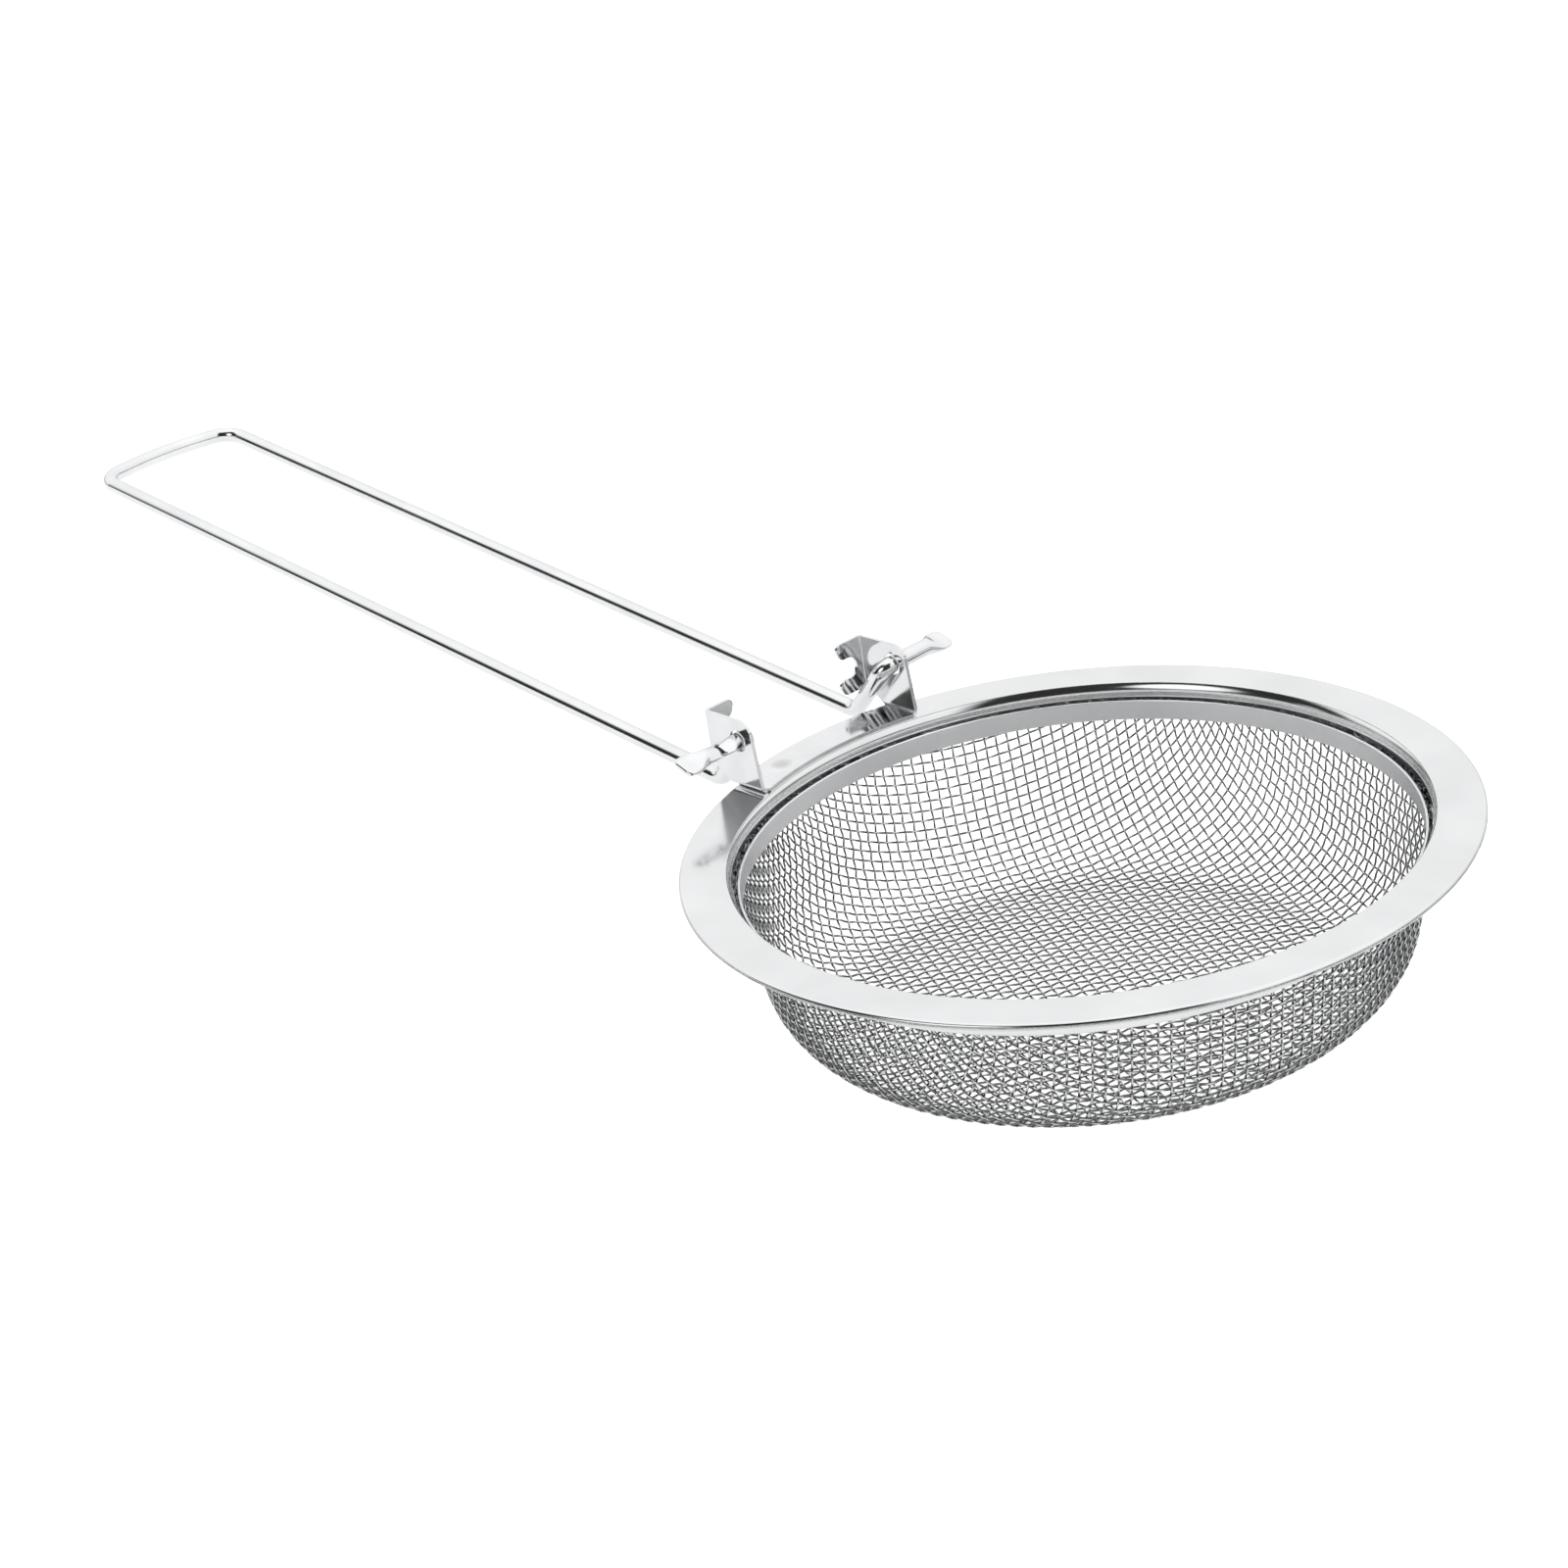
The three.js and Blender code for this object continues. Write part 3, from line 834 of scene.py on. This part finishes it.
def paddle_rings():
    """Distances from the wire's end, and the half width, half thickness and squareness there."""
    rings = []
    for distance in np.concatenate([
        PADDLE_CORNER * (1 - np.cos(np.linspace(PADDLE_TIP_ANGLE, math.pi / 2, 8))),
        np.linspace(PADDLE_CORNER, PADDLE_FLAT, 3)[1:],
        np.linspace(PADDLE_FLAT, PADDLE_FLAT + PADDLE_BLEND, 12)[1:],
    ]):
        left = max(0.0, PADDLE_CORNER - distance)
        width = PADDLE_HALF_WIDTH - PADDLE_CORNER + math.sqrt(PADDLE_CORNER**2 - left**2)
        tip = min(1.0, distance / (0.6 * PADDLE_HALF_THICKNESS))
        thinned = PADDLE_TIP + (1 - PADDLE_TIP) * math.sqrt(1 - (1 - tip) ** 2)
        thickness = PADDLE_HALF_THICKNESS * thinned
        share = min(1.0, max(0.0, (distance - PADDLE_FLAT) / PADDLE_BLEND))
        share = share * share * (3 - 2 * share)
        rings.append((
            distance,
            width + (WIRE_RADIUS - width) * share,
            thickness + (WIRE_RADIUS - thickness) * share,
            PADDLE_SQUARENESS + (ROUND_SQUARENESS - PADDLE_SQUARENESS) * share,
        ))
    return rings


def make_handle():
    end_y = handle_high.y
    leg_end_z = ELBOW_Z + HANDLE_SLOPE * (ELBOW_X - HANDLE_END_X)
    half = [
        Vector((hinge_x, end_y, hinge_z)),
        Vector((hinge_x, LEG_Y, hinge_z)),
        Vector((ELBOW_X, LEG_Y, ELBOW_Z)),
        Vector((HANDLE_END_X, LEG_Y, leg_end_z)),
    ]
    middle = Vector((HANDLE_END_X - END_BOW, 0, leg_end_z + HANDLE_SLOPE * END_BOW))
    other = [Vector((point.x, -point.y, point.z)) for point in reversed(half)]
    radii = [HINGE_BEND, ELBOW_BEND, END_BEND]
    path = bent_path(half + [middle] + other, radii + [BOW_RADIUS] + radii[::-1])
    rings = paddle_rings()
    first = [Vector((hinge_x, end_y - ring[0], hinge_z)) for ring in rings]
    last = [Vector((hinge_x, -point.y, hinge_z)) for point in reversed(first)]
    centres = np.array([tuple(point) for point in first + path[1:-1] + last])
    plain = [(WIRE_RADIUS, WIRE_RADIUS, ROUND_SQUARENESS)] * (len(path) - 2)
    sections = np.array([ring[1:] for ring in rings] + plain + [ring[1:] for ring in reversed(rings)])
    ahead = np.gradient(centres, axis=0)
    ahead /= np.linalg.norm(ahead, axis=1)[:, None]
    # The section's own axes are carried along the wire without twist from the first paddle.
    across = [np.array([math.cos(PADDLE_TILT), 0, -math.sin(PADDLE_TILT)])]
    for direction in ahead[1:]:
        carried = across[-1] - direction * (across[-1] @ direction)
        across.append(carried / np.linalg.norm(carried))
    across = np.array(across)
    up = np.cross(across, ahead)
    # The last paddle lies as the first one does, mirrored through the handle's middle plane.
    count = len(rings)
    across[-count:] = across[:count][::-1]
    up[-count:] = -up[:count][::-1]
    vertices, faces, places = tube(
        centres, across, up, sections[:, 0], sections[:, 1], HANDLE_SIDES, sections[:, 2]
    )
    colours = ((0.80, 0.81, 0.82, 1), (0.88, 0.885, 0.89, 1))
    steel, _, _ = drawn_wire("polished_handle_steel", (0.07, 0.14), 2500, 0.000003, colours)
    handle = new_piece("squeeze_handle", vertices, faces, "handle", "wire_handle", steel)
    store_places(handle, places)
    outward(handle.data)


# ---------------------------------------------------------------- studio


def make_floor():
    """A plain pale floor, a little whiter to the camera than it is in reflections."""
    size = 6.0
    mesh = bpy.data.meshes.new("floor")
    corners = [(-size, -size, 0), (size, -size, 0), (size, size, 0), (-size, size, 0)]
    mesh.from_pydata(corners, [], [(0, 1, 2, 3)])
    floor = bpy.data.objects.new("floor", mesh)
    bpy.context.scene.collection.objects.link(floor)
    material = bpy.data.materials.new("pale_floor")
    material.use_nodes = True
    tree = material.node_tree
    shader = tree.nodes["Principled BSDF"]
    shader.inputs["Base Color"].default_value = (0.93, 0.93, 0.93, 1)
    shader.inputs["Roughness"].default_value = 0.9
    shader.inputs["Specular IOR Level"].default_value = 0.1
    shader.inputs["Emission Color"].default_value = (1, 1, 1, 1)
    seen = add(tree, "ShaderNodeLightPath").outputs["Is Camera Ray"]
    glow = {0: seen, 1: FLOOR_WHITENESS, 2: FLOOR_GLOW}
    glow = add(tree, "ShaderNodeMath", glow, operation="MULTIPLY_ADD")
    tree.links.new(glow.outputs[0], shader.inputs["Emission Strength"])
    mesh.materials.append(material)


def make_sky():
    """A bright studio all round, except for the dark room on the near side, from which the strainer is
    seen, and which draws the dark lines in the bright wire."""
    world = bpy.data.worlds.new("studio")
    bpy.context.scene.world = world
    world.use_nodes = True
    tree = world.node_tree
    background = tree.nodes["Background"]
    direction = add(tree, "ShaderNodeTexCoord").outputs["Generated"]
    height = add(tree, "ShaderNodeSeparateXYZ", {0: direction}).outputs["Z"]

    def toward(x, y, z):
        """The cosine of the angle between a ray and a direction."""
        inputs = {0: direction, 1: (x, y, z)}
        return add(tree, "ShaderNodeVectorMath", inputs, operation="DOT_PRODUCT").outputs["Value"]

    def product(*values):
        total = values[0]
        for value in values[1:]:
            total = add(tree, "ShaderNodeMath", {0: total, 1: value}, operation="MULTIPLY").outputs[0]
        return total

    past_right = toward(math.sin(RIGHT_EDGE), -math.cos(RIGHT_EDGE), 0)
    past_left = toward(
        -math.sin(LEFT_EDGE) * math.sin(LEFT_LEAN), math.cos(LEFT_EDGE) * math.sin(LEFT_LEAN),
        -math.cos(LEFT_LEAN),
    )
    edge = -EDGE_SOFTNESS, EDGE_SOFTNESS
    room = product(
        ranged(tree, past_right, 0.0, 1.0, *edge),
        ranged(tree, past_left, 0.0, 1.0, *edge),
        ranged(tree, height, 1.0, 0.0, *ROOM_TOP),
    )
    lit = add(tree, "ShaderNodeMath", {0: 1.0, 1: room}, operation="SUBTRACT").outputs[0]
    horizon = ranged(tree, height, 0.0, 1.0, *HORIZON)
    ceiling = ranged(tree, height, BACKDROP_LEVEL, CEILING_LEVEL, *CEILING_HEIGHTS)
    near = toward(
        math.cos(SOFTBOX_AZIMUTH) * math.cos(SOFTBOX_ELEVATION),
        math.sin(SOFTBOX_AZIMUTH) * math.cos(SOFTBOX_ELEVATION),
        math.sin(SOFTBOX_ELEVATION),
    )
    inside_edge, outside_edge = (math.cos(share * SOFTBOX_RADIUS) for share in SOFTBOX_FADE)
    box = ranged(tree, near, ROOM_LEVEL, SOFTBOX_LEVEL, outside_edge, inside_edge)
    inputs = {0: product(lit, horizon), 1: ceiling, 2: box}
    level = add(tree, "ShaderNodeMath", inputs, operation="MULTIPLY_ADD").outputs[0]
    seen = add(tree, "ShaderNodeLightPath").outputs["Is Camera Ray"]
    level = add(tree, "ShaderNodeMath", {0: level, 1: seen}, operation="MAXIMUM").outputs[0]
    tree.links.new(level, background.inputs["Strength"])
    background.inputs["Color"].default_value = (1, 1, 1, 1)


def make_camera():
    camera = bpy.data.objects.new("camera", bpy.data.cameras.new("camera"))
    back = Vector((
        math.cos(CAMERA_AZIMUTH) * math.cos(CAMERA_ELEVATION),
        math.sin(CAMERA_AZIMUTH) * math.cos(CAMERA_ELEVATION),
        math.sin(CAMERA_ELEVATION),
    ))
    turn = (-back).to_track_quat("-Z", "Y").to_matrix() @ Matrix.Rotation(-CAMERA_ROLL, 3, "Z")
    camera.matrix_world = Matrix.Translation(Vector(CAMERA_AIM) + back * CAMERA_DISTANCE) @ turn.to_4x4()
    camera.data.lens = CAMERA_LENS
    camera.data.sensor_width = 36.0
    camera.data.clip_start, camera.data.clip_end = 0.01, 50
    bpy.context.scene.collection.objects.link(camera)
    bpy.context.scene.camera = camera


make_rim()
make_band()
make_basket()
make_bracket()
make_handle()
make_floor()
make_sky()
make_camera()
# The default view transform would make the bright steel and the white ground grey.
bpy.context.scene.view_settings.view_transform = "Standard"

bpy.context.view_layer.update()
